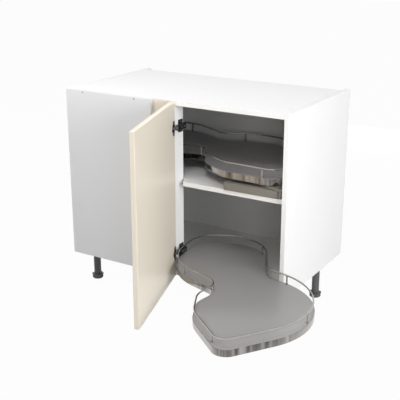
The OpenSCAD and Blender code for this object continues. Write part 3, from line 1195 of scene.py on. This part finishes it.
def screw_tree(material: Material) -> GrowthTree:
    """A tree that sets a cross-recessed screw head on each point, facing +Z.

    Args:
        material: what the screws are dressed in.
    Returns:
        The tree, with the head's radius and height and the recess's width.
    """
    plan = GrowthTree("screw_set")
    tree = plan.tree
    head_r, head_h = plan.size("Head radius"), plan.size("Head height")
    slot_w = plan.size("Recess width")
    head = add_node(
        tree, "GeometryNodeMeshCone", links={"Radius Bottom": head_r, "Depth": head_h},
        values={"Vertices": 32},
    )
    crown, reach = (
        add_node(tree, "ShaderNodeMath", {"operation": "MULTIPLY"}, {0: head_r}, {1: share})
        for share in (0.72, 1.1)
    )
    tree.links.new(crown.outputs[0], head.inputs["Radius Top"])
    arms = []
    for first, second in ((reach.outputs[0], slot_w), (slot_w, reach.outputs[0])):
        size = add_node(tree, "ShaderNodeCombineXYZ", links={"X": first, "Y": second, "Z": head_h})
        bar = add_node(tree, "GeometryNodeMeshCube", links={"Size": size.outputs[0]})
        arms.append(plan.raised(bar.outputs[0], head_h))
    cut = add_node(
        tree, "GeometryNodeMeshBoolean", {"operation": "DIFFERENCE", "solver": "EXACT"},
        {"Mesh 1": head.outputs[0]},
    )
    for arm in arms:
        tree.links.new(arm, cut.inputs["Mesh 2"])
    plan.stand(cut.outputs[0], material)
    return plan


@dataclass
class Hinge:
    """One concealed hinge: plate and arm on the stile, cup in the door.

    screw_radii are the heads' radii on the plate, the arm and the cup.
    """

    prefix: str
    level: float
    door: Door
    face: float = 476.0
    front: float = -83.0
    plate_half: float = 25.0
    plate_thick: float = 4.0
    arm_half: float = 9.5
    arm_out: float = 20.0
    cheek_reach: float = 5.0
    cheek_depth: float = 9.0
    screw_gap: float = 16.0
    rear: float = 51.0
    plate_front: float = 22.0
    forward: float = 5.0
    wall: float = 2.0
    sunk: float = 0.1
    plate_screws_at: float = 37.0
    arm_screws_at: float = 38.0
    arm_screw_gap: float = 17.0
    screw_radii: tuple[float, ...] = (3.4, 3.0, 3.2)

    def name(self, part: str) -> str:
        """A node's name for this hinge."""
        return f"{self.prefix}_hinge_{part}"

    def screws(
        self, spots: Sequence[Point2], place: Matrix, body: str, label: str, radius: float
    ) -> None:
        """Sets cross-recessed screws.

        Args:
            spots: points in millimetres on the local plane.
            place: where that plane lies, its +Z outwards.
            body: the body that the screws move with.
            label: the piece's name.
            radius: head radius in millimetres.
        """
        seeds = bpy.data.meshes.new(label + "_points")
        seeds.from_pydata([(mm(x), mm(y), 0.0) for x, y in spots], [], [])
        sizes = {
            "Head radius": mm(radius), "Head height": mm(radius * HEAD_RISE),
            "Recess width": mm(radius * RECESS_SHARE),
        }
        mesh = screw_tree(ZINC.made()).grow(seeds, sizes)
        mesh.transform(place)
        settle(mesh, label, ZINC, body, crease_deg=25)

    def plate(self) -> None:
        """The mounting plate with its two fixing screws."""
        bm = bmesh.new()
        outer, half = self.face + self.plate_thick, self.plate_half
        low = (self.face, self.front + self.plate_front, self.level - half)
        block(bm, low, (outer, self.front + self.rear, self.level + half), 1.2, 3)
        label, nodes = self.name("plate_pressed"), [self.name("plate")]
        settle(bm, label, DARK_NICKEL, "carcass", nodes, crease_deg=40)
        spots = [(-self.screw_gap, 0), (self.screw_gap, 0)]
        place = shift(outer - self.sunk, self.front + self.plate_screws_at, self.level)
        label, radius = self.name("plate_screws"), self.screw_radii[0]
        self.screws(spots, place @ quarter(y=1), "carcass", label, radius)

    def arm(self) -> None:
        """The hollow hinge arm, its cheeks run out to hold the link, and its adjusting screw."""
        z0, z1 = self.level - self.arm_half, self.level + self.arm_half
        x0, x1 = self.face + self.plate_thick, self.face + self.arm_out
        tip, rear = self.front - self.forward, self.front + self.rear
        nose = tip - self.cheek_reach
        bm = bmesh.new()
        block(bm, (x0, nose, z0), (x1, rear, z1), 1.0, 3)
        label, nodes = self.name("arm_pressed"), [self.name("arm")]
        piece = settle(bm, label, DARK_NICKEL, "carcass", nodes, crease_deg=40)
        corner, inside = (x0 - 1, nose - 1, z0 - 1), (nose - 1, z0 + self.wall)
        roof = z1 - self.wall
        # relief beside the plate, step behind the cheeks, hollow, mouth for the link
        for low, high in (
            (corner, (x0 + 4, self.front + self.plate_front, z1 + 1)),
            (corner, (x1 - self.cheek_depth, tip, z1 + 1)),
            ((x0 - 1, *inside), (x1 - self.wall, rear - self.forward, roof)),
            ((x0 + 6, *inside), (x1 + 1, self.front + 3, roof)),
        ):
            cutter = bmesh.new()
            block(cutter, low, high, 0)
            bored(piece, [cutter])
        spots = [(0, 0), (0, -self.arm_screw_gap)]
        place = shift(x1 - self.sunk, self.front + self.arm_screws_at, self.level)
        label, radius = self.name("arm_screws"), self.screw_radii[1]
        self.screws(spots, place @ quarter(y=1), "carcass", label, radius)

    def cup(self) -> None:
        """The pot in the door with its flange, cross pin and two screws."""
        door = self.door
        place = door.swing() @ shift(door.left + door.cup_inset, door.inner, self.level)
        outward = place @ quarter(x=-1)
        r, deep = door.cup_radius - 0.1, door.cup_depth - 0.5
        half, low, high, corner = 29.0, -16.0, 6.0, 5.0
        outline: list[Point2] = []
        for quadrant, (x, y) in enumerate(((high, half), (low, half), (low, -half), (high, -half))):
            centre = (x - math.copysign(corner, x), y - math.copysign(corner, y))
            outline += fan(centre, corner, 90 * quadrant, 15, 7)
        flange = bmesh.new()
        prism(flange, outline, 0.0, 1.5, 0.4)
        bmesh.ops.transform(flange, matrix=outward, verts=flange.verts)
        label, nodes = self.name("cup_flange"), [self.name("cup")]
        piece = settle(flange, label, DARK_NICKEL, "door", nodes, crease_deg=40)
        mouth = [(0, -1), (r - 2, -1), (r - 2, 3), (0, 3)]
        bored(piece, [turned_profile(mouth, 48, outward)])
        pot = [
            (r - 2, 0), (r - 2, -deep + 1.6), (r - 3.4, -deep + 1.2), (0, -deep + 1.2), (0, -deep),
            (r - 1.5, -deep), (r, -deep + 1.5), (r, 0), (r - 2, 0),
        ]
        shell = turned_profile(pot, 64, outward)
        settle(shell, self.name("cup_pot"), DARK_NICKEL, "door", crease_deg=40)
        reach, thin = r - 0.9, 1.5
        rod = [(0, -reach), (thin, -reach), (thin, reach), (0, reach)]
        pin = turned_profile(rod, 20, place @ shift(0, -5))
        settle(pin, self.name("cup_pin"), ZINC, "door", crease_deg=40)
        lifted = outward @ shift(0, 0, 1.4)
        spots, label, radius = [(-5, -23), (-5, 23)], self.name("cup_screws"), self.screw_radii[2]
        self.screws(spots, lifted, "door", label, radius)

    def build(self) -> None:
        """Builds the hinge's dressed pieces."""
        self.plate()
        self.arm()
        self.cup()


@dataclass(frozen=True)
class Dressing:
    """Finishes for the CAD nodes that are shown as they are."""

    finishes: tuple[tuple[str, Finish], ...] = (
        ("shelf_pins", ZINC),
        ("front_panel_screws", ZINC),
        ("top_fixing_caps", WHITE_PLASTIC),
        ("leg_brackets", DARK_PLASTIC),
        ("leg_tubes", DARK_PLASTIC),
        ("foot_", DARK_PLASTIC),
        ("hinge_plate", DARK_NICKEL),
        ("hinge_arm", DARK_NICKEL),
        ("hinge_link", CHROME),
        ("hinge_cup", DARK_NICKEL),
        ("base_rail", POWDER),
        ("pivot_post", ZINC),
        ("post_cap", DARK_PLASTIC),
        ("swing_arm", POWDER),
        ("tray_hub", ZINC),
    )

    def apply(self, nodes: dict[str, Piece]) -> None:
        """Dresses each CAD node that has a finish.

        Args:
            nodes: CAD node name to its object.
        """
        for name, node in nodes.items():
            for key, finish in self.finishes:
                if key in name and node.type == "MESH":
                    node.data.materials.clear()
                    node.data.materials.append(finish.made())
                    LOG.info("%s dressed in %s", name, finish.name)
                    break


@dataclass(frozen=True)
class Lamp:
    """One soft lamp: place, aim and size in metres, power in watts; gloss doesn't mirror it."""

    name: str
    place: Point3
    aim: Point3
    size: float
    power: float

    def light(self) -> None:
        """Hangs the lamp."""
        data = bpy.data.lights.new(self.name, "AREA")
        data.shape = "SQUARE"
        data.size = self.size
        data.energy = self.power
        lamp = bpy.data.objects.new(self.name, data)
        lamp.location = self.place
        lamp.visible_glossy = False
        beam = Vector(self.aim) - Vector(self.place)
        lamp.rotation_euler = beam.to_track_quat("-Z", "Y").to_euler()
        bpy.context.scene.collection.objects.link(lamp)


@dataclass
class Studio:
    """Camera, lamps, floor and the white surround.

    fill is the world's strength as a light; seen_share and mirrored_share are how much of the
    floor glows white to the eye and in gloss.
    """

    eye: Point3 = (2.16846, -2.65623, 1.50956)
    azimuth_deg: float = 31.535
    elevation_deg: float = 18.616
    roll_deg: float = -0.035
    lens: float = 73.96
    sensor: float = 36.0
    floor_half: float = 14.0
    floor_grey: float = 0.4
    fill: float = 0.2
    seen_share: float = 0.97
    mirrored_share: float = 0.8
    lamps: tuple[Lamp, ...] = (
        Lamp("right_lamp", (3.4, -1.1, 1.3), (0.9, 0.0, 0.5), 1.4, 68.0),
        Lamp("top_lamp", (0.5, 0.4, 3.6), (0.5, 0.2, 0.87), 1.6, 25.0),
        Lamp("front_left_lamp", (-0.7, -1.2, 2.1), (0.05, -0.1, 0.6), 0.6, 22.0),
        Lamp("front_lamp", (1.3, -1.7, 3.0), (0.6, -0.1, 0.5), 0.9, 25.0),
        Lamp("side_lamp", (3.4, 1.3, 1.2), (0.96, 0.3, 0.5), 1.4, 9.0),
        Lamp("inner_lamp", (2.3, -2.2, 1.1), (0.6, 0.3, 0.45), 0.4, 7.0),
        Lamp("back_lamp", (0.2, 3.4, 0.45), (0.45, 0.487, 0.45), 0.8, 34.0),
        Lamp("left_lamp", (-3.0, 0.9, 0.45), (-0.04, 0.3, 0.45), 0.8, 36.0),
    )

    def camera(self) -> None:
        """Sets the camera at the photo's angle."""
        data = bpy.data.cameras.new("photo_camera")
        data.lens = self.lens
        data.sensor_width = self.sensor
        camera = bpy.data.objects.new("photo_camera", data)
        camera.location = self.eye
        turn = Matrix.Rotation(math.radians(self.azimuth_deg), 4, "Z") @ Matrix.Rotation(
            math.radians(90 - self.elevation_deg), 4, "X"
        )
        roll = Matrix.Rotation(math.radians(self.roll_deg), 4, "Z")
        camera.rotation_euler = (turn @ roll).to_euler()
        bpy.context.scene.collection.objects.link(camera)
        bpy.context.scene.camera = camera

    @staticmethod
    def seen_white(tree: Tree) -> Socket:
        """Marks the rays that see the surround rather than gather light.

        Args:
            tree: the world's or the floor's nodes.
        Returns:
            1 for rays from the camera, from gloss and through glass.
        """
        path = add_node(tree, "ShaderNodeLightPath")
        seen = path.outputs["Is Camera Ray"]
        for ray in ("Is Glossy Ray", "Is Transmission Ray"):
            links = {0: seen, 1: path.outputs[ray]}
            seen = add_node(tree, "ShaderNodeMath", {"operation": "MAXIMUM"}, links).outputs[0]
        return seen

    def surround(self) -> None:
        """A white world to the eye that lights only a little."""
        world = bpy.data.worlds.new("white_surround")
        bpy.context.scene.world = world
        world.use_nodes = True
        tree = world.node_tree
        tree.nodes.clear()
        seen = self.seen_white(tree)
        dim = add_node(tree, "ShaderNodeBackground", values={"Strength": self.fill})
        bright = add_node(tree, "ShaderNodeBackground", values={"Strength": 1.0})
        for back in (dim, bright):
            back.inputs["Color"].default_value = (1, 1, 1, 1)
        mixed = add_node(
            tree, "ShaderNodeMixShader", links={0: seen, 1: dim.outputs[0], 2: bright.outputs[0]}
        )
        out = add_node(tree, "ShaderNodeOutputWorld")
        tree.links.new(mixed.outputs[0], out.inputs["Surface"])

    def floor(self) -> None:
        """A plain white floor that keeps a faint shadow."""
        mesh = bpy.data.meshes.new("studio_floor")
        s = self.floor_half
        mesh.from_pydata([(-s, -s, 0), (s, -s, 0), (s, s, 0), (-s, s, 0)], [], [(0, 1, 2, 3)])
        floor = bpy.data.objects.new("studio_floor", mesh)
        bpy.context.scene.collection.objects.link(floor)
        material = bpy.data.materials.new("studio_floor_white")
        material.use_nodes = True
        tree = material.node_tree
        tree.nodes.clear()
        seen = self.seen_white(tree)
        path = add_node(tree, "ShaderNodeLightPath")
        level = add_node(
            tree, "ShaderNodeMapRange", links={"Value": path.outputs["Is Glossy Ray"]},
            values={"To Min": self.seen_share, "To Max": self.mirrored_share},
        )
        share = add_node(
            tree, "ShaderNodeMath", {"operation": "MULTIPLY"}, {0: seen, 1: level.outputs[0]}
        )
        grey = (self.floor_grey, self.floor_grey, self.floor_grey, 1)
        matt = add_node(tree, "ShaderNodeBsdfDiffuse", values={"Color": grey})
        glow = add_node(tree, "ShaderNodeEmission", values={"Color": (1, 1, 1, 1), "Strength": 1.0})
        mixed = add_node(
            tree, "ShaderNodeMixShader",
            links={0: share.outputs[0], 1: matt.outputs[0], 2: glow.outputs[0]},
        )
        out = add_node(tree, "ShaderNodeOutputMaterial")
        tree.links.new(mixed.outputs[0], out.inputs["Surface"])
        mesh.materials.append(material)

    def build(self) -> None:
        """Sets the camera, the lamps, the floor and the surround."""
        self.camera()
        self.surround()
        self.floor()
        for lamp in self.lamps:
            lamp.light()
        bpy.context.scene.view_settings.view_transform = "Standard"


def main() -> None:
    """Builds the cabinet's looks in order."""
    logging.basicConfig(level=logging.INFO, format="%(message)s")
    Studio().build()
    Dressing().apply(frame["nodes"])
    Carcass().build()
    door = Door()
    door.build()
    for prefix, level in zip(("lower", "upper"), door.hinge_levels):
        Hinge(prefix, level, door).build()
    Tray("lower", 168.0, Station.SWUNG_OUT).build()
    Tray("upper", 547.0, Station.STORED).build()


if __name__ == "__main__":
    main()
